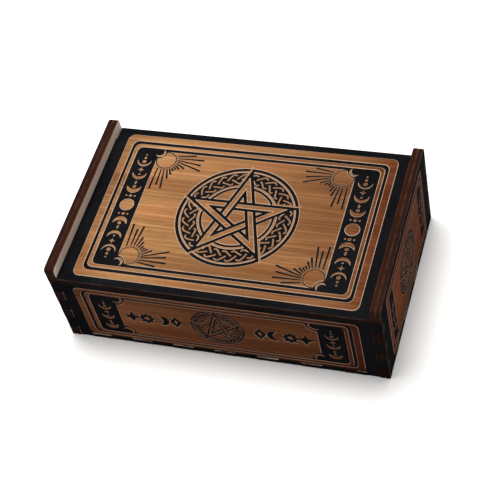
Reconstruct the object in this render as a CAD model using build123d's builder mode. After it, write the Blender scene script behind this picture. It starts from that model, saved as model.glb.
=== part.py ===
from build123d import *
import os

# Card deck box: a finger-jointed plywood box whose flat lid slides out towards the front.
# Each end wall is two boards glued together.  The inner board is cut away between the wall
# tops and its own top rail, and that gap is the groove the lid runs in.
#
# Frame: +X along the box, -Y the front, where the lid comes out, +Z up.
# Origin: centre of the underside, on the surface the box stands on.  All sizes in millimetres.

# ---------------------------------------------------------------- driving dimensions
length = 160.0          # X, over both end walls
depth = 96.0            # Y, over the front and back walls
inner_height = 40.0     # from the top of the bottom panel to the tops of the front and back walls
ply = 3.0               # board of the front wall, back wall, bottom panel and lid
end_ply = 2.5           # each of the two boards of an end wall
rail_height = 6.0       # end wall above the lid groove
corner_radius = 2.0     # top corners of the end walls
finger_rows = 6         # fingers and gaps up a vertical corner, counted together
front_tabs = 7          # tabs of the bottom panel in the front wall, and in the back wall
end_tabs = 4            # tabs of the bottom panel in each end wall
tab_margin = 6.1        # plain edge of the bottom panel beyond its outermost tabs
stop_length = 8.0       # rear end of the groove that stays closed and stops the lid
lid_clearance = 0.2     # lid to groove: above it, below it, at each side and at the stops

# ---------------------------------------------------------------- worked out from them
end_wall = 2 * end_ply
inner_length = length - 2 * end_wall
inner_depth = depth - 2 * ply
wall_height = ply + inner_height
groove_height = ply + 2 * lid_clearance
height = wall_height + groove_height + rail_height

finger_height = wall_height / finger_rows
front_tab_pitch = (inner_length - 2 * tab_margin) / (2 * front_tabs - 1)
end_tab_pitch = (inner_depth - 2 * tab_margin) / (2 * end_tabs - 1)

# Rows of the corner joint, counted from the bottom: even rows belong to the end walls,
# odd rows to the front and back walls.  Each value is the middle height of one row.
wall_finger_heights = [(row + 0.5) * finger_height for row in range(1, finger_rows, 2)]

# Middles of the bottom panel's tabs along a long edge and along a short edge.
front_tab_places = [2 * front_tab_pitch * (i - (front_tabs - 1) / 2) for i in range(front_tabs)]
end_tab_places = [2 * end_tab_pitch * (i - (end_tabs - 1) / 2) for i in range(end_tabs)]

os.makedirs("parts", exist_ok=True)

# ---------------------------------------------------------------- bottom panel
# A flat board between the four walls, with tabs that reach through all of them.
with BuildPart() as bottom_panel:
    with BuildSketch(Plane.XY):
        Rectangle(inner_length, inner_depth)
        with Locations(*[(x, 0) for x in front_tab_places]):
            Rectangle(front_tab_pitch, depth)
        with Locations(*[(0, y) for y in end_tab_places]):
            Rectangle(length, end_tab_pitch)
    extrude(amount=ply)

# ---------------------------------------------------------------- front wall
# Fingers at its two ends lie in the end walls; notches in its bottom edge take the tabs.
with BuildPart() as front_wall:
    with BuildSketch(Plane.XZ.offset(depth / 2)):
        with Locations((0, wall_height / 2)):
            Rectangle(inner_length, wall_height)
        with Locations(*[(0, z) for z in wall_finger_heights]):
            Rectangle(length, finger_height)
        with Locations(*[(x, ply / 2) for x in front_tab_places]):
            Rectangle(front_tab_pitch, ply, mode=Mode.SUBTRACT)
    extrude(amount=-ply)

# ---------------------------------------------------------------- back wall
with BuildPart() as back_wall:
    mirror(front_wall.part, about=Plane.XZ)

# ---------------------------------------------------------------- outer boards of the end walls
# Full-height boards with rounded top corners.  They close the groove on the outside.
with BuildPart() as left_outer_panel:
    with BuildSketch(Plane.YZ.offset(-length / 2)) as outer_outline:
        with Locations((0, height / 2)):
            Rectangle(depth, height)
        fillet(outer_outline.vertices().group_by(Axis.Y)[-1], corner_radius)
        for side in (-1, 1):
            with Locations(*[(side * (depth - ply) / 2, z) for z in wall_finger_heights]):
                Rectangle(ply, finger_height, mode=Mode.SUBTRACT)
        with Locations(*[(y, ply / 2) for y in end_tab_places]):
            Rectangle(end_tab_pitch, ply, mode=Mode.SUBTRACT)
    extrude(amount=end_ply)

with BuildPart() as right_outer_panel:
    mirror(left_outer_panel.part, about=Plane.YZ)

# ---------------------------------------------------------------- inner boards of the end walls
# The same outline, cut away from the front edge back to the stop for the lid's edge.
with BuildPart() as left_inner_panel:
    add(left_outer_panel.part.moved(Location((end_ply, 0, 0))))
    with BuildSketch(Plane.YZ.offset(-length / 2 + end_ply)):
        with Locations((-stop_length, wall_height + groove_height / 2)):
            Rectangle(depth, groove_height)
    extrude(amount=end_ply, mode=Mode.SUBTRACT)

with BuildPart() as right_inner_panel:
    mirror(left_inner_panel.part, about=Plane.YZ)

# ---------------------------------------------------------------- sliding lid
# A flat board over the whole depth of the box.  Its side edges run in the grooves, and its
# rear corners are notched to pass the stops.
groove_floor_x = inner_length / 2 + end_ply
lid_width = 2 * (groove_floor_x - lid_clearance)
lid_rear_width = inner_length - 2 * lid_clearance
notch_length = stop_length + lid_clearance

with BuildPart() as sliding_lid:
    with BuildSketch(Plane.XY.offset(wall_height + lid_clearance)):
        with Locations((0, -notch_length / 2)):
            Rectangle(lid_width, depth - notch_length)
        with Locations((0, (depth - notch_length) / 2)):
            Rectangle(lid_rear_width, notch_length)
    extrude(amount=ply)

# ---------------------------------------------------------------- labels and files
bottom_panel.part.label = "bottom_panel"
front_wall.part.label = "front_wall"
back_wall.part.label = "back_wall"
left_outer_panel.part.label = "left_outer_panel"
left_inner_panel.part.label = "left_inner_panel"
right_outer_panel.part.label = "right_outer_panel"
right_inner_panel.part.label = "right_inner_panel"
sliding_lid.part.label = "sliding_lid"

export_step(bottom_panel.part, "parts/bottom_panel.step")
export_step(front_wall.part, "parts/front_wall.step")
export_step(back_wall.part, "parts/back_wall.step")
export_step(left_outer_panel.part, "parts/left_outer_panel.step")
export_step(left_inner_panel.part, "parts/left_inner_panel.step")
export_step(right_outer_panel.part, "parts/right_outer_panel.step")
export_step(right_inner_panel.part, "parts/right_inner_panel.step")
export_step(sliding_lid.part, "parts/sliding_lid.step")
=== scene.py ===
"""Looks of a plywood card deck box with laser-engraved boards and a sliding lid.

Every board takes its outline and thickness from its CAD node.  The lid and the outer boards have
their engraving as real relief: the veneer stands at the board's surface, the engraved ground lies
lower, and a narrow sloped rim joins the two.  Drawings are in millimetres on the board's own face,
u to the right and v up; meshes are in metres.
"""

import math
from collections import namedtuple

import bpy
import numpy as np
from mathutils import Matrix, Vector
from mathutils.geometry import delaunay_2d_cdt


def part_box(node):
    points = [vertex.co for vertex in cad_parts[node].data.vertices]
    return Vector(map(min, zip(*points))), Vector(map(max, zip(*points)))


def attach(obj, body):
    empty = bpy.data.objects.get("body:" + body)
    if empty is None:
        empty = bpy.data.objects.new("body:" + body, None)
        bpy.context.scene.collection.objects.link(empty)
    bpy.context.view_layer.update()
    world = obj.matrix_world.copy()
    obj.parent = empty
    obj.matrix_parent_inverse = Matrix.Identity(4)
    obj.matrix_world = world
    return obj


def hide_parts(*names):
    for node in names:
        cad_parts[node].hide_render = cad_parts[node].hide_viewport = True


bl_info = {
    "name": "Engraved card deck box",
    "version": (1, 0, 0),
    "blender": (4, 5, 0),
    "location": "3D View > Sidebar > Deck Box",
    "description": "Builds the engraved boards of a sliding-lid card box round its CAD frame",
    "category": "Object",
}

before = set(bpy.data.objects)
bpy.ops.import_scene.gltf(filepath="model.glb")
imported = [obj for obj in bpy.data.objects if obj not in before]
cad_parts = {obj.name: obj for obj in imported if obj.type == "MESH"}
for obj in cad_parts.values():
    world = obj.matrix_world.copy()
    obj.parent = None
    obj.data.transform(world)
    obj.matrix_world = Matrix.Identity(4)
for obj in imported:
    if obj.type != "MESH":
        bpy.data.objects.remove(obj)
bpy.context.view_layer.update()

MM = 0.001

# ---- the boards and their faces

# A board's node, body and record slot, with the directions right, up and out of its shown face.
Board = namedtuple("Board", "node body slot right up out")

X, Y, Z = (1, 0, 0), (0, 1, 0), (0, 0, 1)
BACKWARDS_X, BACKWARDS_Y = (-1, 0, 0), (0, -1, 0)

LID = Board("sliding_lid", "lid", "engraved_lid", X, Y, Z)
FRONT = Board("front_wall", "box", "engraved_board", X, Z, BACKWARDS_Y)
BACK = Board("back_wall", "box", "engraved_board", BACKWARDS_X, Z, Y)
LEFT_OUTER = Board("left_outer_panel", "box", "engraved_end_board", BACKWARDS_Y, Z, BACKWARDS_X)
RIGHT_OUTER = Board("right_outer_panel", "box", "engraved_end_board", Y, Z, X)
LEFT_INNER = Board("left_inner_panel", "box", "inner_end_board", Y, Z, X)
RIGHT_INNER = Board("right_inner_panel", "box", "inner_end_board", BACKWARDS_Y, Z, BACKWARDS_X)
BOTTOM = Board("bottom_panel", "box", "inner_board", X, Y, Z)
END_LININGS = (LEFT_INNER, RIGHT_INNER)


def span(node):
    """Lowest and highest corner of a CAD node in millimetres."""
    low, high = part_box(node)
    return np.array(low) / MM, np.array(high) / MM


HALF_LENGTH = -span("left_outer_panel")[0][0]
HALF_DEPTH = span("sliding_lid")[1][1]
WALL_HEIGHT = span("front_wall")[1][2]
END_HEIGHT = span("left_outer_panel")[1][2]

# The drawing on a face: half size and middle height of the outer frame, then the widths of the
# outer frame, the gap, the inner frame and the line round the field, along u and along v, then
# the rounding of the frames and the width of the dark columns at the two ends of the field.
Layout = namedtuple("Layout", "half_u half_v centre_v bands_u bands_v corner column")

# Width of the dark border outside the frames at a board's ends, on the lid, front and back.
END_BORDER = 11.2

LID_LAYOUT = Layout(
    half_u=HALF_LENGTH - END_BORDER,
    half_v=HALF_DEPTH - 3.9,
    centre_v=0.0,
    bands_u=(3.8, 1.5, 2.0, 0.0),
    bands_v=(3.9, 1.7, 2.0, 1.6),
    corner=3.3,
    column=11.3,
)
WALL_LAYOUT = Layout(
    half_u=HALF_LENGTH - END_BORDER,
    half_v=WALL_HEIGHT / 2 - 2.9,
    centre_v=WALL_HEIGHT / 2 + 0.7,
    bands_u=(3.4, 1.6, 2.0, 0.0),
    bands_v=(1.7, 0.8, 1.3, 0.8),
    corner=2.9,
    column=12.9,
)
END_LAYOUT = Layout(
    half_u=HALF_DEPTH - 9.8,
    half_v=END_HEIGHT / 2 - 4.3,
    centre_v=END_HEIGHT / 2 + 0.1,
    bands_u=(2.0, 1.1, 1.3, 0.0),
    bands_v=(1.9, 1.5, 1.3, 1.0),
    corner=2.4,
    column=6.9,
)

# ---- settings


def length_setting(name, description, default):
    """A length that a user may change, in metres."""
    kind = {"unit": "LENGTH", "subtype": "DISTANCE"}
    return bpy.props.FloatProperty(name=name, description=description, default=default, **kind)


def colour_setting(name, description, default):
    """A colour that a user may change."""
    kind = {"subtype": "COLOR", "size": 3, "min": 0.0, "max": 1.0}
    return bpy.props.FloatVectorProperty(
        name=name, description=description, default=default, **kind
    )


def place_setting(name, description, default):
    """A place that a user may change, in metres."""
    kind = {"unit": "LENGTH", "subtype": "TRANSLATION", "size": 3}
    return bpy.props.FloatVectorProperty(
        name=name, description=description, default=default, **kind
    )


class DeckBoxSizes(bpy.types.PropertyGroup):
    """Sizes of the engraving and of the boards' edges."""

    engraving: length_setting(
        "Engraving depth",
        "How far the engraved ground lies below the veneer on the lid, front and back",
        0.00020,
    )
    fine_engraving: length_setting(
        "Fine engraving depth",
        "How far the engraved ground lies below the veneer on the end walls",
        0.00004,
    )
    rim: length_setting(
        "Rim width",
        "Width of the sloped rim between the veneer and the ground on the lid",
        0.00026,
    )
    fine_rim: length_setting(
        "Fine rim width", "Width of the same rim on the smaller drawings of the walls", 0.00026
    )
    arris: length_setting("Arris", "Width of the worn arris along every board edge", 0.00025)
    lid_medallion: length_setting(
        "Lid medallion radius", "Outer radius of the round knotwork on the lid", 0.0296
    )
    wall_medallion: length_setting(
        "Wall medallion radius",
        "Outer radius of the round knotwork on the front and back walls",
        0.0131,
    )
    end_medallion: length_setting(
        "End medallion radius", "Outer radius of the round knotwork on the end walls", 0.0152
    )


class DeckBoxColours(bpy.types.PropertyGroup):
    """Colours of the finishes."""

    lid_veneer: colour_setting(
        "Lid veneer", "Main colour of the veneer on the lid", (0.278, 0.143, 0.059)
    )
    # Darker than the lid's veneer, partly as painted shade for the upright walls, which get less
    # light than the lid.
    shaded_wall_veneer: colour_setting(
        "Wall veneer",
        "Main colour of the darker veneer on the front and back walls",
        (0.143, 0.057, 0.0250),
    )
    # Redder and darker than the lid's veneer; the darkness is partly painted shade for the upright
    # end walls.
    shaded_end_veneer: colour_setting(
        "End veneer",
        "Main colour of the redder veneer on the two end walls",
        (0.143, 0.044, 0.0140),
    )
    ground: colour_setting(
        "Engraved ground",
        "Colour of the charred ground of the engraving",
        (0.0052, 0.0054, 0.0066),
    )
    cut_edge: colour_setting(
        "Cut edge", "Colour of the scorched edges that the laser cut", (0.0185, 0.0082, 0.0060)
    )
    raw_board: colour_setting(
        "Raw board", "Colour of the unfinished inner faces", (0.68, 0.57, 0.49)
    )


class DeckBoxStage(bpy.types.PropertyGroup):
    """The camera's lens, turn and place."""

    lens: bpy.props.FloatProperty(
        name="Focal length",
        description="Focal length on a 36 mm sensor, in millimetres",
        default=99.65,
        subtype="DISTANCE_CAMERA",
    )
    roll: bpy.props.FloatProperty(
        name="Camera roll",
        description="Turn of the camera about its view direction, from level",
        default=math.radians(-15.406),
        subtype="ANGLE",
    )
    camera_place: place_setting(
        "Camera place", "Where the camera stands", (0.19788, -0.37213, 0.54011)
    )
    camera_target: place_setting(
        "Camera target", "The point in the middle of the view", (0.003117, -0.001948, 0.023429)
    )


# ---- plane outlines, in millimetres


def outward(outline):
    """+1 for an outline that runs counter-clockwise and -1 for one that runs clockwise, from the
    sign of its area: half the sum of the cross products of neighbouring points."""
    ahead = np.roll(outline, -1, 0)
    area = (outline[:, 0] * ahead[:, 1] - ahead[:, 0] * outline[:, 1]).sum()
    return 1.0 if area > 0 else -1.0


def mitres(before, point, after):
    """The step of each corner when its two edges move outwards by one: the sum of the two edge
    normals divided by half its squared length, with the sharpest corners held back."""
    normals = []
    for start, end in ((before, point), (point, after)):
        run = end - start
        run = run / np.linalg.norm(run, axis=1, keepdims=True)
        normals.append(np.stack([run[:, 1], -run[:, 0]], 1))
    both = normals[0] + normals[1]
    sharpest = 0.35
    return 2 * both / np.maximum((both**2).sum(1, keepdims=True), sharpest)


def offset(outline, distance):
    """A closed outline moved outwards by a distance, or inwards when it is negative."""
    step = mitres(np.roll(outline, 1, 0), outline, np.roll(outline, -1, 0))
    return outline + step * distance * outward(outline)


def circle(centre, radius, points):
    """Equal steps round a circle."""
    turn = np.arange(points) * 2 * math.pi / points
    return np.array(centre) + radius * np.stack([np.cos(turn), np.sin(turn)], 1)


def rectangle(half_u, half_v, centre=(0.0, 0.0)):
    """Four corners of an upright rectangle."""
    corners = np.array([(-1, -1), (1, -1), (1, 1), (-1, 1)], float)
    return np.array(centre) + corners * (half_u, half_v)


def rounded(half_u, half_v, radius, centre):
    """A rectangle whose corners are quarter circles of one radius."""
    steps = 7
    bend = np.linspace(0, math.pi / 2, steps)
    turns = np.concatenate([bend + k * math.pi / 2 for k in range(4)])
    ways = np.repeat([(1, 1), (-1, 1), (-1, -1), (1, -1)], steps, 0)
    middles = ways * (half_u - radius, half_v - radius)
    return np.array(centre) + middles + radius * np.stack([np.cos(turns), np.sin(turns)], 1)


def crescent(centre, radius, thickness, towards, lip=0.2):
    """A moon between two circles.  The tips lie past the outer circle's middle, on the open side,
    by a share of its radius; the shift of the inner circle's centre follows from that: the
    thickness times (two radii less the thickness), over twice (radius less thickness plus the
    tips' distance).  The inner radius is the shift less the thickness plus the outer radius."""
    points = 20
    past = lip * radius
    shift = thickness * (2 * radius - thickness) / (2 * (radius - thickness + past))
    inner = shift - thickness + radius
    rise = math.sqrt(radius**2 - past**2)
    tip_out = math.atan2(rise, past)
    tip_in = math.atan2(rise, past - shift)
    back = np.linspace(tip_out, 2 * math.pi - tip_out, points)
    front = np.linspace(2 * math.pi - tip_in, tip_in, points)[1:-1]
    rim = radius * np.stack([np.cos(back), np.sin(back)], 1)
    bite = inner * np.stack([np.cos(front), np.sin(front)], 1) + (shift, 0)
    return turned(np.concatenate([rim, bite]), towards) + np.array(centre)


def lozenge(centre, half_u, half_v):
    """A diamond with four points."""
    return np.array(centre) + np.array([(half_u, 0), (0, half_v), (-half_u, 0), (0, -half_v)])


def pointed(centre, long_radius, short_radius, tips):
    """A star whose points alternate between two radii, with one tip upwards."""
    angles = math.pi / 2 + np.arange(2 * tips) * math.pi / tips
    radii = np.where(np.arange(2 * tips) % 2, short_radius, long_radius)
    return np.array(centre) + radii[:, None] * np.stack([np.cos(angles), np.sin(angles)], 1)


def turned(points, angle):
    """Points turned about the drawing's zero."""
    cosine, sine = math.cos(angle), math.sin(angle)
    return points @ np.array([(cosine, sine), (-sine, cosine)])


def wedge(start, end, start_width, end_width):
    """A straight stroke between two points that widens on the way."""
    along = (end - start) / np.linalg.norm(end - start)
    across = np.array([-along[1], along[0]]) / 2
    first, last = across * start_width, across * end_width
    return np.array([start - first, end - last, end + last, start + first])


def quarter(corner, way_u, way_v, radius):
    """A quarter disc inside a corner, with its two straight sides moved outwards by a spill."""
    spill, steps = 0.5, 14
    turn = np.linspace(0, math.pi / 2, steps)
    arc = -radius * np.stack([np.cos(turn), np.sin(turn)], 1)
    shape = np.concatenate([[(-radius, spill)], arc, [(spill, -radius), (spill, spill)]])
    return np.array(corner) + shape * (way_u, way_v)


# ---- painting shapes over another

# One shape of a drawing.  A standing shape leaves veneer inside its outer outline, with the rim
# between the outer and inner ones.  A cut shape engraves all inside its inner outline and turns
# the veneer between the two into rim.
Shape = namedtuple("Shape", "stands outer inner")


def stand(outline, rim):
    """Veneer left standing inside an outline."""
    return Shape(True, outline, offset(outline, -rim))


def cut(outline, rim):
    """Ground engraved inside an outline."""
    return Shape(False, offset(outline, rim), outline)


def inside(points, outline):
    """Which points lie in an outline: those with an odd number of its edges to their right."""
    u, v = points[:, 0:1], points[:, 1:2]
    start, end = outline, np.roll(outline, -1, 0)
    rise = end[:, 1] - start[:, 1]
    passes = (start[:, 1] > v) != (end[:, 1] > v)
    rise = np.where(rise == 0, 1.0, rise)
    at = start[:, 0] + (v - start[:, 1]) * (end[:, 0] - start[:, 0]) / rise
    return (passes & (u < at)).sum(1) % 2 == 1


GROUND, VENEER, RIM = 0, 1, 2


def paint(centres, shapes):
    """What each triangle of a face is, GROUND, VENEER or RIM, after all shapes are painted in
    order over a face that is all ground."""
    kind = np.zeros(len(centres), int)
    for shape in shapes:
        low, high = shape.outer.min(0), shape.outer.max(0)
        near = np.flatnonzero(((centres >= low) & (centres <= high)).all(1))
        near = near[inside(centres[near], shape.outer)]
        core = inside(centres[near], shape.inner)
        if shape.stands:
            kind[near] = np.where(core, VENEER, RIM)
        else:
            kind[near] = np.where(core, GROUND, np.where(kind[near] == GROUND, GROUND, RIM))
    return kind


# ---- drawings

# Small shapes have narrower rims: shares of the drawing's own rim.
MOON_RIM = 0.6
DOT_RIM = 0.5
SPARK_RIM = 0.4
SUN_RIM = 0.4
RAY_RIM = 0.3
CORNER_MOON_RIM = 0.8
BRAID_RIM = 0.5
TAIL_RIM = 0.6
WALL_MEDALLION_RIM = 0.3
END_DRAWING_RIM = 0.5
END_MEDALLION_RIM = 0.6

DOT_POINTS = 14
DISC_POINTS = 40


def framed_field(layout, rim):
    """Nested frames: veneer, gap, veneer, gap, then the field between the two dark columns.  Each
    frame's corners are a little tighter than the last."""
    tighter = 0.93
    shapes = []
    centre = (0.0, layout.centre_v)
    half_u, half_v, corner = layout.half_u, layout.half_v, layout.corner
    for number in range(4):
        outline = rounded(half_u, half_v, corner, centre)
        shapes.append(stand(outline, rim) if number % 2 == 0 else cut(outline, rim))
        half_u -= layout.bands_u[number]
        half_v -= layout.bands_v[number]
        corner *= tighter
    half_u, half_v, _ = field_size(layout)
    shapes.append(stand(rectangle(half_u, half_v, centre), rim))
    return shapes


def field_size(layout):
    """Half width and half height of the veneer field inside the frames and columns, and the
    distance of the columns' middle lines."""
    half_u = layout.half_u - sum(layout.bands_u) - layout.column
    return half_u, layout.half_v - sum(layout.bands_v), half_u + layout.column / 2


# Half a column of moons in millimetres on the lid: the distance from the column's middle to a
# moon's back and the moon's thickness, to a dot's centre and its radius, and to a spark's centre
# and its reach.  The row of dots gives the distance along, the place across and the radius.
MOON_RADIUS = 3.6
MOON_BACKS = ((7.4, 2.3), (16.1, 1.6), (24.4, 1.05))
MOON_DOTS = (
    (11.4, 0.9),
    (13.3, 0.42),
    (14.6, 0.34),
    (19.2, 0.5),
    (27.4, 1.0),
    (29.8, 0.65),
    (31.8, 0.45),
)
MOON_SPARKS = ((22.2, 1.6), (14.0, 0.95))
SPARK_WAIST = 0.36
ROW_OF_DOTS = ((5.6, 0.0, 0.8), (5.6, 2.15, 0.5), (5.6, -2.15, 0.5))


def moons(centre_u, start_v, way, size, stretch, rim):
    """Half a column of crescents, dots and sparks.  A place along the column is the start plus the
    table's distance times the stretch; the shapes themselves are only scaled."""
    shapes = []
    tip_side = way * math.pi / 2
    for back, thickness in MOON_BACKS:
        place = start_v + way * (back * stretch + MOON_RADIUS * size)
        moon = crescent((centre_u, place), MOON_RADIUS * size, thickness * size, tip_side)
        shapes.append(stand(moon, rim * MOON_RIM))
    for along, radius in MOON_DOTS:
        dot = circle((centre_u, start_v + way * along * stretch), radius * size, DOT_POINTS)
        shapes.append(stand(dot, rim * DOT_RIM))
    for along, reach in MOON_SPARKS:
        place = (centre_u, start_v + way * along * stretch)
        spark = pointed(place, reach * size, reach * size * SPARK_WAIST, 4)
        shapes.append(stand(spark, rim * SPARK_RIM))
    return shapes


def moon_middle(centre_u, rim):
    """The full disc in the middle of a lid column, with a row of dots on both sides of it."""
    shapes = [stand(circle((centre_u, 0), MOON_RADIUS, DISC_POINTS), rim)]
    for way in (-1, 1):
        for along, across, radius in ROW_OF_DOTS:
            dot = circle((centre_u + across, way * along), radius, DOT_POINTS)
            shapes.append(stand(dot, rim * DOT_RIM))
    return shapes


# Rays of a corner sun on the two sides of the corner's diagonal: the angle from the diagonal
# where the ray leaves the sun, the angle where it ends, both in degrees, and how far it reaches.
LONG_SIDE_RAYS = (
    (76, 62, 15.2),
    (62, 51, 19.3),
    (51, 41, 18.4),
    (42, 31, 19.6),
    (32, 23, 11.4),
    (21, 14, 9.5),
    (10, 6, 8.4),
)
SHORT_SIDE_RAYS = (
    (74, 55, 18.9),
    (53, 47, 15.8),
    (38, 38, 17.9),
    (24, 27, 12.0),
    (12, 16, 10.0),
    (1, 4, 8.4),
)
RAY_WIDTHS = (0.65, 1.05)
RAY_GAP = 0.6
SUN_RADIUS = 5.3
SUN_LINE = 0.5

# A corner moon's middle, as a share of the way that the bite leaves free, and its tips' lip.
CORNER_MOON_AWAY = 0.75
CORNER_MOON_LIP = 0.3


def corner_sun(corner, way_u, way_v, rim):
    """A sun that touches both sides of a field's corner, with rays that are short along the
    corner's diagonal and long along the field's sides."""
    centre = np.array(corner) - np.array((way_u, way_v)) * SUN_RADIUS
    shapes = [cut(circle(centre, SUN_RADIUS, DISC_POINTS), rim * SUN_RIM)]
    shapes.append(stand(circle(centre, SUN_RADIUS - SUN_LINE, DISC_POINTS), rim * SUN_RIM))
    diagonal = math.atan2(-way_v, -way_u)
    long_side = way_u * way_v
    for rays, side in ((LONG_SIDE_RAYS, -long_side), (SHORT_SIDE_RAYS, long_side)):
        for leave, arrive, reach in rays:
            ends = []
            for angle, distance in ((leave, SUN_RADIUS + RAY_GAP), (arrive, reach)):
                turn = diagonal + side * math.radians(angle)
                ends.append(centre + distance * np.array((math.cos(turn), math.sin(turn))))
            shapes.append(cut(wedge(*ends, *RAY_WIDTHS), rim * RAY_RIM))
    return shapes


def corner_moon(corner, way_u, way_v, bite, radius, rim):
    """A round bite out of a field's corner with a crescent in it that opens to the corner."""
    towards = math.atan2(way_v, way_u)
    inward = -np.array((way_u, way_v)) / math.sqrt(2)
    centre = np.array(corner) + inward * (bite - radius) * CORNER_MOON_AWAY
    moon = crescent(centre, radius, radius / 2, towards, CORNER_MOON_LIP)
    return [cut(quarter(corner, way_u, way_v, bite), rim), stand(moon, rim * CORNER_MOON_RIM)]


# Parts of the round knotwork, as shares of its outer radius: the outer ring, the braid's band,
# the inner ring, the star's tips, its strands and their dark lines, the braid's strands, gaps and
# swing, and the tails of the star's strands, whose reach is counted from the tip inwards.
RING_WIDTH = 0.054
BRAID_OUTER = 0.915
BRAID_INNER = 0.652
ARC_OUTER = 0.613
ARC_WIDTH = 0.042
STAR_RADIUS = 0.697
STAR_STRAND = 0.078
STAR_LINE = 0.052
BRAID_STRAND = 0.027
BRAID_GAP = 0.041
BRAID_SWING = 0.098
TAIL_LINE_REACH = (-0.295, 0.16)
TAIL_STRIP_REACH = (-0.315, 0.16)
TAIL_STRIP_AWAY = 0.018
TAIL_STRIP_HALF = 0.016

BRAID_REPEATS = 10
BRAID_STRANDS = 3
BRAID_ROUNDNESS = 0.95
# Where a star's strand passes over another, as shares of its length.
STAR_OVER = (0.315, 0.45)


def braid(centre, radius, rim, fineness, boldness):
    """A ring of strands that pass over and under each other.  A strand's distance from the
    centre swings about the middle of the ring by a rounded triangle wave, the arc sine of a
    cosine, with a number of repeats round the ring; each strand runs a share of a wave later
    than the one before.  Two strands cross where the wave has gone through k parts of twice the
    number of strands, except at its two turning points.  The wave is cut into one stretch per
    crossing, and these are painted in turn: first those that pass under, then the gaps at the
    crossings, then those that pass over."""
    strands = BRAID_STRANDS
    per_wave = 4 * strands * fineness
    count = per_wave * BRAID_REPEATS
    wave = np.arange(count + 1) / per_wave
    middle = (BRAID_OUTER + BRAID_INNER) / 2 * radius
    half_strand = BRAID_STRAND / 2 * radius / boldness
    half_gap = half_strand + BRAID_GAP * radius * boldness
    swing = np.arcsin(BRAID_ROUNDNESS * np.cos(2 * math.pi * wave)) / math.asin(BRAID_ROUNDNESS)
    reach = middle + BRAID_SWING * radius * swing
    unders, gaps, overs = [], [], []
    for strand in range(strands):
        angle = (wave + strand / strands) * 2 * math.pi / BRAID_REPEATS
        path = reach[:, None] * np.stack([np.cos(angle), np.sin(angle)], 1)
        run = np.roll(path[:-1], -1, 0) - np.roll(path[:-1], 1, 0)
        run /= np.linalg.norm(run, axis=1, keepdims=True)
        run = np.concatenate([run, run[:1]])
        side = np.stack([-run[:, 1], run[:, 0]], 1)
        path = path + np.array(centre)

        def ribbon(first, last, half):
            """The part of the strand between two steps, with a half width."""
            part = slice(first * fineness, last * fineness + 1)
            left = path[part] + side[part] * half
            right = path[part] - side[part] * half
            return np.concatenate([left, right[::-1]])

        for repeat in range(BRAID_REPEATS):
            start = repeat * 4 * strands
            for crossing in range(1, 2 * strands):
                if crossing == strands:
                    continue
                over = (crossing % 2 == 1) != (crossing > strands)
                middle_step = start + 2 * crossing
                first = middle_step - (2 if crossing % strands == 1 else 1)
                last = middle_step + (2 if crossing % strands == strands - 1 else 1)
                stretch = [ribbon(first, last, half) for half in (half_strand, half_strand - rim)]
                (overs if over else unders).append(Shape(True, *stretch))
                if over:
                    ends = middle_step - 1, middle_step + 1
                    gap = [ribbon(*ends, half) for half in (half_gap + rim, half_gap)]
                    gaps.append(Shape(False, *gap))
    return unders + gaps + overs


def star(centre, radius, rim, boldness):
    """A five-pointed star of straight strands.  A strand runs from a tip to the next but one,
    and its ends are cut along the radius through the tip.  First all the dark outlines are
    painted, then the strands, then each strand again where it passes over another.  Under all of
    them a dark line and a thin strip run along each strand's outer side, on past its tip."""
    tips = math.pi / 2 + np.arange(5) * 2 * math.pi / 5
    corners = STAR_RADIUS * radius * np.stack([np.cos(tips), np.sin(tips)], 1)
    half_strand = STAR_STRAND / 2 * radius / boldness
    half_line = half_strand + STAR_LINE * radius * boldness
    tail_rim = rim * TAIL_RIM
    mitre = 1 / math.tan(math.pi / 10)
    tails, outlines, strands, gaps, bridges = [], [], [], [], []
    for tip in range(5):
        start, end = corners[tip], corners[(tip + 2) % 5]
        length = np.linalg.norm(end - start)
        along = (end - start) / length
        across = np.array([-along[1], along[0]])
        outer_side = 1.0 if across @ start > 0 else -1.0

        def bar(half, first=0.0, last=1.0):
            """The strand between two shares of its length; whole ends follow the tips' radii."""
            slant = half * mitre
            ends = []
            for share, way in ((first, -1), (last, 1)):
                lean = slant if share in (0.0, 1.0) else 0.0
                for side in (outer_side, -outer_side):
                    reach = share * length + way * side * outer_side * lean
                    ends.append(start + along * reach + across * side * half)
            return np.array([ends[0], ends[2], ends[3], ends[1]]) + np.array(centre)

        outlines.append(Shape(False, bar(half_line + rim), bar(half_line)))
        strands.append(Shape(True, bar(half_strand), bar(half_strand - rim)))
        gap = bar(half_line + rim, *STAR_OVER), bar(half_line, *STAR_OVER)
        gaps.append(Shape(False, *gap))
        bridge = bar(half_strand, *STAR_OVER), bar(half_strand - rim, *STAR_OVER)
        bridges.append(Shape(True, *bridge))
        for stands, reach, away, half in (
            (False, TAIL_LINE_REACH, STAR_LINE / 2, STAR_LINE / 2),
            (True, TAIL_STRIP_REACH, STAR_LINE + TAIL_STRIP_AWAY, TAIL_STRIP_HALF),
        ):
            line = np.array(reach)[:, None] * radius * along + start
            line = line + across * outer_side * (half_strand + away * radius)
            edge = across * half * radius
            strip = np.concatenate([line + edge, line[::-1] - edge]) + np.array(centre)
            tails.append(stand(strip, tail_rim) if stands else cut(strip, tail_rim))
    return tails + outlines + strands + gaps + bridges


def medallion(centre, radius, rim, fineness, boldness):
    """The round knotwork: a dark ring, a braid on dark ground, an inner dark ring and a star.
    Fineness multiplies the braid's steps.  Boldness makes the dark lines wider and the strands
    narrower, for small medallions."""
    rounds = 96
    edges = (
        1.0,
        1.0 - RING_WIDTH * boldness,
        BRAID_OUTER,
        BRAID_INNER,
        ARC_OUTER,
        ARC_OUTER - ARC_WIDTH * boldness,
    )
    shapes = []
    for number, share in enumerate(edges):
        outline = circle(centre, share * radius, rounds)
        shapes.append(stand(outline, rim) if number % 2 else cut(outline, rim))
    shapes += braid(centre, radius, rim * BRAID_RIM, fineness, boldness)
    return shapes + star(centre, radius, rim, boldness)


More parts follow.
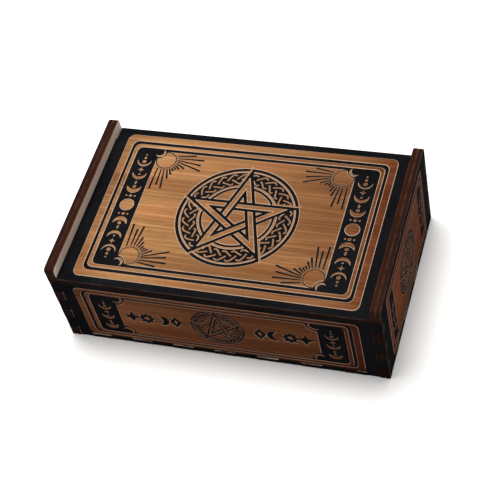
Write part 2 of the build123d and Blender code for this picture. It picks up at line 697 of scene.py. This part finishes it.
def lid_drawing(sizes):
    """The lid: frames, two columns of moons, four corner suns and the large medallion."""
    rim = sizes.rim / MM
    layout = LID_LAYOUT
    shapes = framed_field(layout, rim)
    half_u, half_v, column_u = field_size(layout)
    for way_u in (-1, 1):
        shapes += moon_middle(way_u * column_u, rim)
        for way_v in (-1, 1):
            shapes += moons(way_u * column_u, 0.0, way_v, size=1.0, stretch=1.0, rim=rim)
            corner = (way_u * half_u, way_v * half_v)
            shapes += corner_sun(corner, way_u, way_v, rim)
            shapes += corner_moon(corner, way_u, way_v, bite=4.6, radius=2.5, rim=rim)
    radius = sizes.lid_medallion / MM
    return shapes + medallion((0.0, 0.0), radius, rim, fineness=2, boldness=1.0)


def wall_emblems(centre_v, way, rim):
    """Four dark emblems in a row outwards: a lozenge, a moon, a sun and a four-pointed star."""
    nearest, spacing, height = 20.6, 7.3, 4.3
    places = [way * (nearest + spacing * k) for k in range(4)]
    gem = lozenge((places[0], centre_v), half_u=3.0, half_v=height)
    gem_middle = lozenge((places[0], centre_v), half_u=0.9, half_v=1.7)
    facing, moon_u = (0.0 if way > 0 else math.pi), places[1] - way * 0.2
    moon = crescent((moon_u, centre_v), radius=3.7, thickness=2.9, towards=facing, lip=0.35)
    sun = pointed((places[2], centre_v), long_radius=height, short_radius=2.9, tips=8)
    sun_middle = circle((places[2], centre_v), radius=1.2, points=20)
    spark = pointed((places[3], centre_v), long_radius=height, short_radius=1.8, tips=4)
    shapes = [cut(outline, rim) for outline in (gem, moon, sun, spark)]
    return shapes + [stand(outline, rim) for outline in (gem_middle, sun_middle)]


def wall_drawing(sizes):
    """Front and back: frames, a half column of moons at each end, corner crescents, a medallion
    and a row of emblems on both sides of it."""
    rim = sizes.fine_rim / MM
    layout = WALL_LAYOUT
    shapes = framed_field(layout, rim)
    half_u, half_v, column_u = field_size(layout)
    start_v = layout.centre_v - 18.9
    for way_u in (-1, 1):
        shapes += moons(way_u * column_u, start_v, 1, size=0.88, stretch=0.92, rim=rim)
        shapes += wall_emblems(layout.centre_v + 0.4, way_u, rim)
        for way_v in (-1, 1):
            corner = (way_u * half_u, layout.centre_v + way_v * half_v)
            shapes += corner_moon(corner, way_u, way_v, bite=5.2, radius=2.8, rim=rim)
    centre, radius = (0.0, layout.centre_v + 0.5), sizes.wall_medallion / MM
    return shapes + medallion(centre, radius, rim * WALL_MEDALLION_RIM, fineness=1, boldness=1.25)


def end_drawing(sizes):
    """End walls: frames, a half column of moons at each end and a medallion."""
    rim = sizes.fine_rim / MM * END_DRAWING_RIM
    layout = END_LAYOUT
    shapes = framed_field(layout, rim)
    half_u, half_v, column_u = field_size(layout)
    start_v = layout.centre_v - 17.5
    for way_u in (-1, 1):
        shapes += moons(way_u * column_u, start_v, 1, size=0.6, stretch=0.92, rim=rim)
    centre, radius = (0.0, layout.centre_v), sizes.end_medallion / MM
    return shapes + medallion(centre, radius, rim * END_MEDALLION_RIM, fineness=1, boldness=1.42)


# ---- boards as meshes


def face_outline(board):
    """The edge of a CAD node's shown face, read from its triangles.  Triangles whose corners all
    lie at the greatest distance along the outward direction make the face; an edge that no
    neighbour runs the other way is on its border.  Returns the border's points, the number of
    the point after each, and the board's outer and inner distance, in millimetres."""
    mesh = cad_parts[board.node].data
    mesh.calc_loop_triangles()
    place = np.zeros(len(mesh.vertices) * 3)
    mesh.vertices.foreach_get("co", place)
    corner = np.zeros(len(mesh.loop_triangles) * 3, int)
    mesh.loop_triangles.foreach_get("vertices", corner)
    axes = np.array([board.right, board.up, board.out], float).T
    local = place.reshape(-1, 3) @ axes / MM
    top, bottom = local[:, 2].max(), local[:, 2].min()
    close = 1e-3
    triangles = corner.reshape(-1, 3)
    triangles = triangles[(local[triangles][:, :, 2] > top - close).all(1)]
    spots, same = np.unique(np.round(local[:, :2], 3), axis=0, return_inverse=True)
    triangles = same.reshape(-1)[triangles]
    start = triangles.reshape(-1)
    end = np.roll(triangles, -1, 1).reshape(-1)
    key, back_key = start * len(spots) + end, end * len(spots) + start
    border = ~np.isin(key, back_key)
    start, end = start[border], end[border]
    used = np.unique(start)
    after = np.searchsorted(used, end[np.argsort(start)])
    points = spots[used]
    return *without_straight_points(points, after), top, bottom


def without_straight_points(points, after):
    """Leaves out border points that lie on a straight stretch, where both edges run one way."""
    before = np.argsort(after)
    first, second = points - points[before], points[after] - points
    bend = np.abs(first[:, 0] * second[:, 1] - first[:, 1] * second[:, 0])
    least_bend = 1e-4
    keep = bend > least_bend * np.linalg.norm(first, axis=1) * np.linalg.norm(second, axis=1)
    following = after.copy()
    while not keep[following].all():
        following = np.where(keep[following], following, after[following])
    number = np.cumsum(keep) - 1
    return points[keep], number[following[keep]]


def triangulated(border, after, shapes):
    """Triangles that fill a border and follow every outline of a drawing inside it.  Returns
    the points, the triangles, and for each border point its number among the points.  The sheet
    is turned askew for the work and back again after it, so that no lines lie exactly level or
    upright and no triangle comes out flat."""
    loops = [outline for shape in shapes for outline in (shape.outer, shape.inner)]
    points = np.concatenate([border, *loops])
    edges = [np.stack([np.arange(len(border)), after], 1)]
    starts = len(border) + np.cumsum([0] + [len(loop) for loop in loops])
    edges += [
        first + np.stack([np.arange(len(loop)), (np.arange(len(loop)) + 1) % len(loop)], 1)
        for first, loop in zip(starts, loops)
    ]
    edges = np.concatenate(edges)
    snap, askew, only_inside = 1e-4, 0.37, 1
    askew_points = [Vector(point) for point in turned(points, askew).tolist()]
    found = delaunay_2d_cdt(askew_points, edges.tolist(), [], only_inside, snap)
    spots = turned(np.array([tuple(spot) for spot in found[0]]), -askew)
    triangles = np.array(found[2])
    counts = [len(group) for group in found[3]]
    sources = np.concatenate([np.array(group, int) for group in found[3] if group])
    place = np.zeros(len(points), int)
    place[sources] = np.repeat(np.arange(len(spots)), counts)
    return spots, triangles, place[: len(border)]


# Material slots of every board, in this order.
VENEER_SLOT, GROUND_SLOT, RIM_SLOT, ARRIS_SLOT, EDGE_SLOT, INNER_SLOT = range(6)


def build_board(board, shapes, depth, arris, materials):
    """One board as a closed mesh in five steps from its outer to its inner face: the engraved
    face, a narrow arris, the cut edge, another arris, and the plain inner face.  On the engraved
    face a point lies at the ground's depth if it touches ground, at the surface if it touches
    veneer, and halfway if it touches only rim."""
    border, after, top, bottom = face_outline(board)
    before = np.argsort(after)
    inset = border - mitres(border[before], border, border[after]) * arris

    spots, triangles, place = triangulated(inset, after, shapes)
    centres = spots[triangles].mean(1)
    kind = paint(centres, shapes) if shapes else np.full(len(centres), VENEER)
    sink = np.full(len(spots), depth / 2)
    sink[triangles[kind == VENEER]] = 0.0
    sink[triangles[kind == GROUND]] = depth
    edge_sink = depth if shapes else 0.0
    sink[place] = edge_sink
    slots = np.choose(kind, [GROUND_SLOT, VENEER_SLOT if shapes else INNER_SLOT, RIM_SLOT])

    plain, plain_triangles, plain_place = triangulated(inset, after, [])
    plain_triangles = plain_triangles[:, ::-1]

    count = len(border)
    heights = [np.full(count, top - edge_sink - arris), np.full(count, bottom + arris)]
    points = np.concatenate(
        [
            np.column_stack([spots, top - sink]),
            np.column_stack([border, heights[0]]),
            np.column_stack([border, heights[1]]),
            np.column_stack([plain, np.full(len(plain), bottom)]),
        ]
    )
    upper = len(spots) + np.arange(count)
    lower = upper + count
    base = len(spots) + 2 * count
    rings = [place, upper, lower, base + plain_place]
    faces, face_slots = [triangles], [slots]
    for high, low, slot in zip(rings, rings[1:], (ARRIS_SLOT, EDGE_SLOT, ARRIS_SLOT)):
        faces.append(np.stack([high, low, low[after]], 1))
        faces.append(np.stack([high, low[after], high[after]], 1))
        face_slots.append(np.full(2 * count, slot))
    faces.append(base + plain_triangles)
    face_slots.append(np.full(len(plain_triangles), INNER_SLOT))
    faces, face_slots = np.concatenate(faces), np.concatenate(face_slots)

    used = np.unique(faces)
    faces = np.searchsorted(used, faces)
    points = points[used]
    axes = np.array([board.right, board.up, board.out], float)
    mesh = bpy.data.meshes.new(board.node + "_engraved")
    mesh.from_pydata((points @ axes * MM).tolist(), [], faces.tolist())
    mesh.polygons.foreach_set("material_index", face_slots.astype(np.int32))
    share = (top - points[:, 2]) / (top - bottom)
    attribute = mesh.attributes.new("board_depth", "FLOAT", "POINT")
    attribute.data.foreach_set("value", share.astype(np.float32))
    for material in materials:
        mesh.materials.append(material)
    mesh.update()

    piece = bpy.data.objects.new(board.node + "_board", mesh)
    bpy.context.scene.collection.objects.link(piece)
    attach(piece, board.body)
    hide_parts(board.node)
    return piece


# ---- finishes


class Finish:
    """One material, with short names for adding and joining its shader nodes."""

    def __init__(self, name):
        self.material = bpy.data.materials.new(name)
        self.material.use_nodes = True
        self.tree = self.material.node_tree
        self.shader = self.tree.nodes["Principled BSDF"]
        self.coordinates = self.add("ShaderNodeTexCoord").outputs["Object"]

    def add(self, kind, **settings):
        """A new node with its settings."""
        node = self.tree.nodes.new(kind)
        for key, value in settings.items():
            setattr(node, key, value)
        return node

    def join(self, source, target):
        """Links an output to an input, or sets the input to a plain value."""
        if isinstance(source, bpy.types.NodeSocket):
            self.tree.links.new(source, target)
        else:
            target.default_value = source

    def place(self, scale, shift):
        """Object coordinates, scaled per axis by parts per metre and then shifted."""
        node = self.add("ShaderNodeMapping")
        self.join(self.coordinates, node.inputs["Vector"])
        node.inputs["Scale"].default_value = scale
        node.inputs["Location"].default_value = shift
        return node.outputs["Vector"]

    def coordinate(self, axis):
        """One object coordinate, in metres."""
        apart = self.add("ShaderNodeSeparateXYZ")
        self.join(self.coordinates, apart.inputs["Vector"])
        return apart.outputs[axis]

    def above_lid(self, below=0.0):
        """A value for below the lid that rises to 1 above it.  It rises from 1 to 4.5 mm above the
        walls."""
        top = WALL_HEIGHT * MM
        return self.spread(self.coordinate(2), top + 0.001, top + 0.0045, below, 1.0)

    def noise(self, scale, detail=4.0, rough=0.55, distortion=0.0, shift=(0.0, 0.0, 0.0)):
        """A soft uneven pattern of values about a half; the scale is in parts per metre."""
        node = self.add("ShaderNodeTexNoise")
        self.join(self.place(scale, shift), node.inputs["Vector"])
        node.inputs["Scale"].default_value = 1.0
        node.inputs["Detail"].default_value = detail
        node.inputs["Roughness"].default_value = rough
        node.inputs["Distortion"].default_value = distortion
        return node.outputs["Fac"]

    def spread(self, value, low, high, to_low=0.0, to_high=1.0):
        """A value between two levels spread over another range, and held at its ends."""
        node = self.add("ShaderNodeMapRange", clamp=True)
        self.join(value, node.inputs["Value"])
        node.inputs["From Min"].default_value = low
        node.inputs["From Max"].default_value = high
        node.inputs["To Min"].default_value = to_low
        node.inputs["To Max"].default_value = to_high
        return node.outputs["Result"]

    def blend(self, share, first, second, mode="MIX"):
        """A share of the second colour laid over the first."""
        node = self.add("ShaderNodeMix", data_type="RGBA", blend_type=mode)
        self.join(share, node.inputs["Factor"])
        colour_inputs = [socket for socket in node.inputs if socket.type == "RGBA"]
        for value, socket in zip((first, second), colour_inputs):
            self.join(value if isinstance(value, bpy.types.NodeSocket) else (*value, 1.0), socket)
        return [socket for socket in node.outputs if socket.type == "RGBA"][0]

    def tint(self, base, colour):
        """A colour multiplied by another, channel by channel."""
        return self.blend(1.0, base, colour, "MULTIPLY")

    def plus(self, first, second, how="ADD"):
        """Two values added."""
        node = self.add("ShaderNodeMath", operation=how)
        self.join(first, node.inputs[0])
        self.join(second, node.inputs[1])
        return node.outputs["Value"]

    def minus(self, first, second):
        """The first value less the second."""
        return self.plus(first, second, "SUBTRACT")

    def times(self, first, second):
        """Two values multiplied."""
        return self.plus(first, second, "MULTIPLY")

    def complete(self, colour, roughness, height, relief, specular):
        """Colour, roughness and bump go to the shader; relief is the bump's depth in metres."""
        self.join(colour, self.shader.inputs["Base Color"])
        self.join(roughness, self.shader.inputs["Roughness"])
        self.shader.inputs["Specular IOR Level"].default_value = specular
        bump = self.add("ShaderNodeBump")
        bump.inputs["Strength"].default_value = 1.0
        bump.inputs["Distance"].default_value = relief
        self.join(height, bump.inputs["Height"])
        self.join(bump.outputs["Normal"], self.shader.inputs["Normal"])
        return self.material


def shade(colour, factor, warmth=1.0):
    """A colour made lighter or darker, and warmer where red gains more than blue."""
    red, green, blue = colour
    return red * factor * warmth, green * factor, blue * factor / warmth


def tinted(colour, tint):
    """A colour times a tint, channel by channel."""
    return tuple(c * t for c, t in zip(colour, tint))


# Tints of the veneer: its two tones, a lit golden end and a red end darkened partly as painted
# shade, a rosy patch, a dark band or streak and a pale fibre.
LIT_GOLDEN_END = (1.08, 1.08, 1.07)
SHADED_RED_END = (0.30, 0.15, 0.14)
ROSY = (1.05, 0.86, 0.84)
DARK_GRAIN = (0.60, 0.53, 0.50)
PALE_GRAIN = (1.45, 1.50, 1.60)

# Tints of the cut edges below the lid and above it.
BELOW_LID_TINT = (0.45, 0.47, 0.50)
ABOVE_LID_TINT = (1.20, 1.20, 1.25)

# How red and dark the veneer grows along a board, partly painted shade for light falling off
# across the box: the two places in metres, then the share at each.
FAR_SHADE_RAMP = (-0.045, 0.075, 0.0, 0.72)
LAST_SHADE_RAMP = (0.050, 0.075, 0.0, 0.34)
NEAR_SHADE_RAMP = (-0.075, -0.050, 0.52, 0.0)

# How light an arris's worn patches and painted highlight are: a share of raw board on the lid,
# front and back, another on the bottom, where it is a painted highlight on the tabs' arrises, and a
# multiple of the cut edge on the end boards.
FACE_ARRIS_WEAR_AND_HIGHLIGHT, BOTTOM_ARRIS_HIGHLIGHT, END_ARRIS_WEAR_AND_HIGHLIGHT = 0.10, 0.75, 6.0

# How far the rims pale from the veneer to raw board, partly the cut veneer's paler core and partly
# a painted highlight along the relief's edges, and on boards that aren't in the list.
RIM_HIGHLIGHT_PALENESS = {LID: 0.36, FRONT: 0.16, BACK: 0.16}
OTHER_RIM_HIGHLIGHT_PALENESS = 0.34


def along_grain(axis, along, across):
    """Scales for a pattern that is long along one axis and short across it."""
    return tuple(along if k == axis else across for k in range(3))


def veneer(name, colour, axis):
    """Oiled veneer: the tone drifts from golden to red and darker along the board, most towards its
    far end and a little at its near end, partly the veneer's own tone and partly painted shade for
    light falling off across the box; rosy patches; broad light and dark bands, fine fibres, short
    dark pores and thin pale scratches run along the grain."""
    wood = Finish(name)
    drift = wood.noise(along_grain(axis, 11.0, 16.0), 2.0, 0.5, 0.4, (0.2, 0.9, 0.4))
    blush = wood.noise(along_grain(axis, 30.0, 75.0), 3.0, 0.5, 0.6, (7.0, 1.0, 4.0))
    bands = wood.noise(along_grain(axis, 6.0, 85.0), 4.0, 0.55, 0.8)
    streaks = wood.noise(along_grain(axis, 16.0, 560.0), 3.0, 0.6, 0.3, (5.0, 2.0, 8.0))
    fibres = wood.noise(along_grain(axis, 50.0, 1500.0), 4.0, 0.7)
    pores = wood.noise(along_grain(axis, 240.0, 3400.0), 1.0, 0.4, 0.0, (0.0, 9.0, 2.0))
    scratches = wood.noise(along_grain(axis, 9.0, 1000.0), 1.0, 0.4, 0.2, (2.0, 6.0, 3.0))
    place = wood.coordinate(axis)
    # Painted shade: the veneer turns darker and redder towards the board's far end, and a little at
    # its near end.
    ends = wood.plus(wood.spread(place, *FAR_SHADE_RAMP), wood.spread(place, *LAST_SHADE_RAMP))
    near_shade_and_drift = wood.plus(wood.spread(place, *NEAR_SHADE_RAMP), wood.spread(drift, 0.3, 0.7, -0.10, 0.10))
    level = wood.spread(wood.plus(ends, near_shade_and_drift), 0.0, 1.0)
    base = wood.blend(level, tinted(colour, LIT_GOLDEN_END), tinted(colour, SHADED_RED_END))
    base = wood.blend(wood.spread(blush, 0.44, 0.62, 0.0, 0.6), base, wood.tint(base, ROSY))
    dark = wood.tint(base, DARK_GRAIN)
    base = wood.blend(wood.spread(bands, 0.42, 0.66, 0.0, 0.8), base, dark)
    base = wood.blend(wood.spread(streaks, 0.50, 0.72, 0.0, 0.8), base, dark)
    pale = wood.tint(base, PALE_GRAIN)
    base = wood.blend(wood.spread(fibres, 0.45, 0.80, 0.0, 0.5), base, pale)
    base = wood.blend(wood.spread(scratches, 0.60, 0.64, 0.0, 0.8), base, pale)
    base = wood.blend(wood.spread(pores, 0.60, 0.72, 0.0, 0.5), base, shade(colour, 0.36, 1.05))
    rough = wood.spread(fibres, 0.3, 0.8, 0.42, 0.60)
    height = wood.plus(fibres, wood.times(pores, -0.6))
    return wood.complete(base, rough, height, relief=0.00003, specular=0.002)


def charred_ground(name, colour, axis):
    """Laser-charred ground: nearly black, a little blue, with soft clouds and faint fibres."""
    wood = Finish(name)
    cloud = wood.noise((38.0, 38.0, 38.0), 4.0, 0.6)
    fibres = wood.noise(along_grain(axis, 60.0, 1300.0), 4.0, 0.6)
    base = wood.blend(wood.spread(cloud, 0.3, 0.7), shade(colour, 0.75), shade(colour, 1.45))
    base = wood.blend(wood.spread(fibres, 0.55, 0.85, 0.0, 0.4), base, shade(colour, 2.2, 1.1))
    rough = wood.spread(cloud, 0.3, 0.7, 0.58, 0.74)
    return wood.complete(base, rough, fibres, relief=0.00005, specular=0.001)


def cut_rim(name, colour, axis):
    """The sloped rim of the veneer, pale where the beam has cleaned the wood and paler still as a
    painted highlight along the relief's edges.
    """
    wood = Finish(name)
    grain = wood.noise(along_grain(axis, 160.0, 900.0), 3.0, 0.6)
    dark, light = shade(colour, 0.75, 1.02), shade(colour, 1.15, 0.96)
    base = wood.blend(wood.spread(grain, 0.3, 0.7), dark, light)
    rough = wood.spread(grain, 0.3, 0.7, 0.5, 0.7)
    return wood.complete(base, rough, grain, relief=0.00003, specular=0.01)


def highlit_worn_arris(name, colour, light, pale_share_below):
    """Board arrises: scorched brown, and light here and there, partly worn and partly a painted
    highlight along the edge, fully above the lid and by a share below it."""
    wood = Finish(name)
    wear = wood.noise((130.0, 130.0, 130.0), 4.0, 0.65)
    # Share of the light colour: worn patches and a painted highlight along the edge, fully above
    # the lid.
    wear_and_highlight_share = wood.times(wood.spread(wear, 0.40, 0.70), wood.above_lid(pale_share_below))
    rough = wood.spread(wear, 0.3, 0.7, 0.5, 0.66)
    base = wood.blend(wear_and_highlight_share, colour, light)
    return wood.complete(base, rough, wear, relief=0.00005, specular=0.01)


def plies(name, colour):
    """A laser-cut edge: scorched brown, the middle ply darker, with fine burn streaks across.
    Edges above the lid are lighter; those below are tinted much darker."""
    wood = Finish(name)
    depth = wood.add("ShaderNodeAttribute", attribute_name="board_depth").outputs["Fac"]
    wobble = wood.noise((160.0, 160.0, 160.0), 3.0, 0.6)
    level = wood.plus(depth, wood.spread(wobble, 0.0, 1.0, -0.07, 0.07))
    middle = wood.times(wood.spread(level, 0.24, 0.34), wood.spread(level, 0.66, 0.76, 1.0, 0.0))
    cloud = wood.noise((24.0, 24.0, 24.0), 3.0, 0.55)
    streaks = wood.noise((900.0, 900.0, 900.0), 2.0, 0.6)
    base = wood.blend(wood.spread(cloud, 0.32, 0.68), shade(colour, 0.72), shade(colour, 1.4, 1.05))
    base = wood.blend(wood.times(middle, 0.5), base, shade(colour, 0.55))
    base = wood.blend(wood.spread(streaks, 0.5, 0.8, 0.0, 0.35), base, shade(colour, 0.4))
    # Edges below the lid's level are tinted much darker than those above it.
    base = wood.blend(wood.above_lid(), wood.tint(base, BELOW_LID_TINT), wood.tint(base, ABOVE_LID_TINT))
    rough = wood.spread(streaks, 0.3, 0.7, 0.42, 0.62)
    height = wood.minus(streaks, wood.times(middle, 0.5))
    return wood.complete(base, rough, height, relief=0.00006, specular=0.006)


def raw_board(name, colour, axis):
    """Unfinished plywood face: pale, with a soft straight grain and fine pores."""
    wood = Finish(name)
    bands = wood.noise(along_grain(axis, 6.0, 90.0), 3.0, 0.5, 0.4)
    fibres = wood.noise(along_grain(axis, 50.0, 1400.0), 4.0, 0.65)
    dark, light = shade(colour, 0.84, 1.02), shade(colour, 1.1, 0.99)
    base = wood.blend(wood.spread(bands, 0.3, 0.7), dark, light)
    base = wood.blend(wood.spread(fibres, 0.55, 0.8, 0.0, 0.4), base, shade(colour, 0.66, 1.05))
    rough = wood.spread(fibres, 0.3, 0.7, 0.6, 0.75)
    return wood.complete(base, rough, fibres, relief=0.00004, specular=0.02)


def board_materials(board, main, colours):
    """The six finishes of one board, in slot order.  The grain runs along the board."""
    axis = int(np.argmax(np.abs(board.right)))
    lining = board in END_LININGS
    edge = shade(tuple(colours.cut_edge), 0.95, 1.3 if lining else 1.0)
    raw = tuple(colours.raw_board)
    inner = raw if lining else shade(raw, 0.72, 1.06)
    share = RIM_HIGHLIGHT_PALENESS.get(board, OTHER_RIM_HIGHLIGHT_PALENESS)
    # Pale rim colour: partly the cut veneer's core, partly a painted highlight along the relief's
    # edges.
    pale = tuple((1 - share) * m + share * r for m, r in zip(shade(main, 1.5, 0.95), raw))
    # The arris's light colour: partly worn wood, partly a painted highlight along the edge; on the
    # bottom, the painted highlight of its tabs.
    arris_wear_and_highlight, pale_share_below = shade(edge, END_ARRIS_WEAR_AND_HIGHLIGHT), 0.3
    if board is BOTTOM:
        arris_wear_and_highlight, pale_share_below = shade(raw, BOTTOM_ARRIS_HIGHLIGHT), 1.0
    elif board in (LID, FRONT, BACK):
        arris_wear_and_highlight = shade(raw, FACE_ARRIS_WEAR_AND_HIGHLIGHT)
    name = board.node
    return [
        veneer(name + "_veneer", main, axis),
        charred_ground(name + "_ground", tuple(colours.ground), axis),
        cut_rim(name + "_rim", pale, axis),
        highlit_worn_arris(name + "_arris", shade(edge, 1.2), arris_wear_and_highlight, pale_share_below),
        plies(name + "_edge", edge),
        raw_board(name + "_inner", inner, axis),
    ]


# ---- operators


def build(context, boards, main, shapes, depth=0.0, arris_share=1.0):
    """Builds boards that share a veneer colour, a drawing and an engraving depth in metres."""
    sizes, colours = context.scene.deckbox_sizes, context.scene.deckbox_colours
    arris = sizes.arris * arris_share / MM
    for board in boards:
        materials = board_materials(board, tuple(main), colours)
        build_board(board, shapes, depth / MM, arris, materials)
    return {"FINISHED"}


class DECKBOX_OT_lid(bpy.types.Operator):
    """Build the engraved sliding lid"""

    bl_idname = "deckbox.lid"
    bl_label = "Engraved lid"

    def execute(self, context):
        sizes, main = context.scene.deckbox_sizes, context.scene.deckbox_colours.lid_veneer
        return build(context, (LID,), main, lid_drawing(sizes), sizes.engraving)


class DECKBOX_OT_walls(bpy.types.Operator):
    """Build the engraved front and back walls"""

    bl_idname = "deckbox.walls"
    bl_label = "Front and back walls"

    def execute(self, context):
        sizes, main = context.scene.deckbox_sizes, context.scene.deckbox_colours.shaded_wall_veneer
        return build(context, (FRONT, BACK), main, wall_drawing(sizes), sizes.engraving)


class DECKBOX_OT_ends(bpy.types.Operator):
    """Build the engraved outer boards of the two end walls"""

    bl_idname = "deckbox.ends"
    bl_label = "Outer end boards"

    def execute(self, context):
        sizes, main = context.scene.deckbox_sizes, context.scene.deckbox_colours.shaded_end_veneer
        boards = (LEFT_OUTER, RIGHT_OUTER)
        return build(context, boards, main, end_drawing(sizes), sizes.fine_engraving)


class DECKBOX_OT_inner(bpy.types.Operator):
    """Build the plain boards: the inner boards of the end walls and the bottom panel"""

    bl_idname = "deckbox.inner"
    bl_label = "Plain boards"

    def execute(self, context):
        main = context.scene.deckbox_colours.shaded_wall_veneer
        build(context, END_LININGS, main, [])
        return build(context, (BOTTOM,), main, [], arris_share=1.6)


# The floor, the soft square light over the box and the even light of the room.
FLOOR_REACH = 3.0
LIGHT_PLACE = (-0.12, 0.16, 1.05)
LIGHT_TARGET = (0.0, 0.0, 0.02)
LIGHT_SIZE = 0.8
LIGHT_WATTS = 18.0
LIGHT_COLOUR = (1.0, 0.985, 0.96)
ROOM_LIGHT = 0.30


class DECKBOX_OT_stage(bpy.types.Operator):
    """Lay the floor, light the room and place the camera"""

    bl_idname = "deckbox.stage"
    bl_label = "Floor, light and camera"

    def execute(self, context):
        self.lay_floor(context)
        self.light_room(context)
        self.place_camera(context)
        context.scene.view_settings.view_transform = "Standard"
        return {"FINISHED"}

    def lay_floor(self, context):
        """A flat square sheet of matt white paper with the faintest mottling."""
        paper = Finish("floor_paper")
        cloud = paper.noise((3.0, 3.0, 3.0), 2.0, 0.5)
        base = paper.blend(cloud, (0.93, 0.93, 0.93), (0.95, 0.95, 0.95))
        paper.complete(base, 0.9, cloud, relief=0.0001, specular=0.1)
        mesh = bpy.data.meshes.new("floor")
        corners = rectangle(FLOOR_REACH, FLOOR_REACH)
        mesh.from_pydata([(u, v, 0.0) for u, v in corners.tolist()], [], [(0, 1, 2, 3)])
        mesh.materials.append(paper.material)
        floor = bpy.data.objects.new("floor", mesh)
        context.scene.collection.objects.link(floor)

    def light_room(self, context):
        """Even white light from all round, and one square lamp that faces the box."""
        world = bpy.data.worlds.new("studio")
        world.use_nodes = True
        background = world.node_tree.nodes["Background"]
        background.inputs["Color"].default_value = (1.0, 1.0, 1.0, 1.0)
        background.inputs["Strength"].default_value = ROOM_LIGHT
        context.scene.world = world

        light = bpy.data.lights.new("key", "AREA")
        light.shape = "SQUARE"
        light.size = LIGHT_SIZE
        light.energy = LIGHT_WATTS
        light.color = LIGHT_COLOUR
        lamp = bpy.data.objects.new("key", light)
        lamp.location = LIGHT_PLACE
        ahead = Vector(LIGHT_TARGET) - Vector(LIGHT_PLACE)
        lamp.rotation_euler = ahead.to_track_quat("-Z", "Y").to_euler()
        context.scene.collection.objects.link(lamp)

    def place_camera(self, context):
        """The camera looks from its place to its target and is rolled about that line."""
        settings = context.scene.deckbox_stage
        camera = bpy.data.cameras.new("camera")
        camera.lens = settings.lens
        camera.sensor_width = 36.0
        camera.clip_start = 0.01
        holder = bpy.data.objects.new("camera", camera)
        place, target = Vector(settings.camera_place), Vector(settings.camera_target)
        ahead = (target - place).normalized()
        level = ahead.cross(Vector(Z)).normalized()
        above = level.cross(ahead)
        right = level * math.cos(settings.roll) + above * math.sin(settings.roll)
        up = right.cross(ahead)
        turn = Matrix((right, up, -ahead)).transposed().to_4x4()
        holder.matrix_world = Matrix.Translation(place) @ turn
        context.scene.collection.objects.link(holder)
        context.scene.camera = holder


class DECKBOX_PT_panel(bpy.types.Panel):
    """Lists the steps that build the deck box"""

    bl_idname = "DECKBOX_PT_panel"
    bl_label = "Deck Box"
    bl_space_type = "VIEW_3D"
    bl_region_type = "UI"
    bl_category = "Deck Box"

    def draw(self, context):
        for group in ("deckbox_sizes", "deckbox_colours", "deckbox_stage"):
            settings = getattr(context.scene, group)
            box = self.layout.box()
            for name in type(settings).__annotations__:
                box.prop(settings, name)
        for operator in OPERATORS:
            self.layout.operator(operator.bl_idname)


SETTINGS = {
    "deckbox_sizes": DeckBoxSizes,
    "deckbox_colours": DeckBoxColours,
    "deckbox_stage": DeckBoxStage,
}
OPERATORS = (
    DECKBOX_OT_stage,
    DECKBOX_OT_lid,
    DECKBOX_OT_walls,
    DECKBOX_OT_ends,
    DECKBOX_OT_inner,
)
CLASSES = (*SETTINGS.values(), *OPERATORS, DECKBOX_PT_panel)


def register():
    for item in CLASSES:
        bpy.utils.register_class(item)
    for name, group in SETTINGS.items():
        setattr(bpy.types.Scene, name, bpy.props.PointerProperty(type=group))


def unregister():
    for name in SETTINGS:
        delattr(bpy.types.Scene, name)
    for item in reversed(CLASSES):
        bpy.utils.unregister_class(item)


def main():
    """Registers the add-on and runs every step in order."""
    register()
    bpy.ops.deckbox.stage()
    bpy.ops.deckbox.lid()
    bpy.ops.deckbox.walls()
    bpy.ops.deckbox.ends()
    bpy.ops.deckbox.inner()
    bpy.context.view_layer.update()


if __name__ == "__main__":
    main()
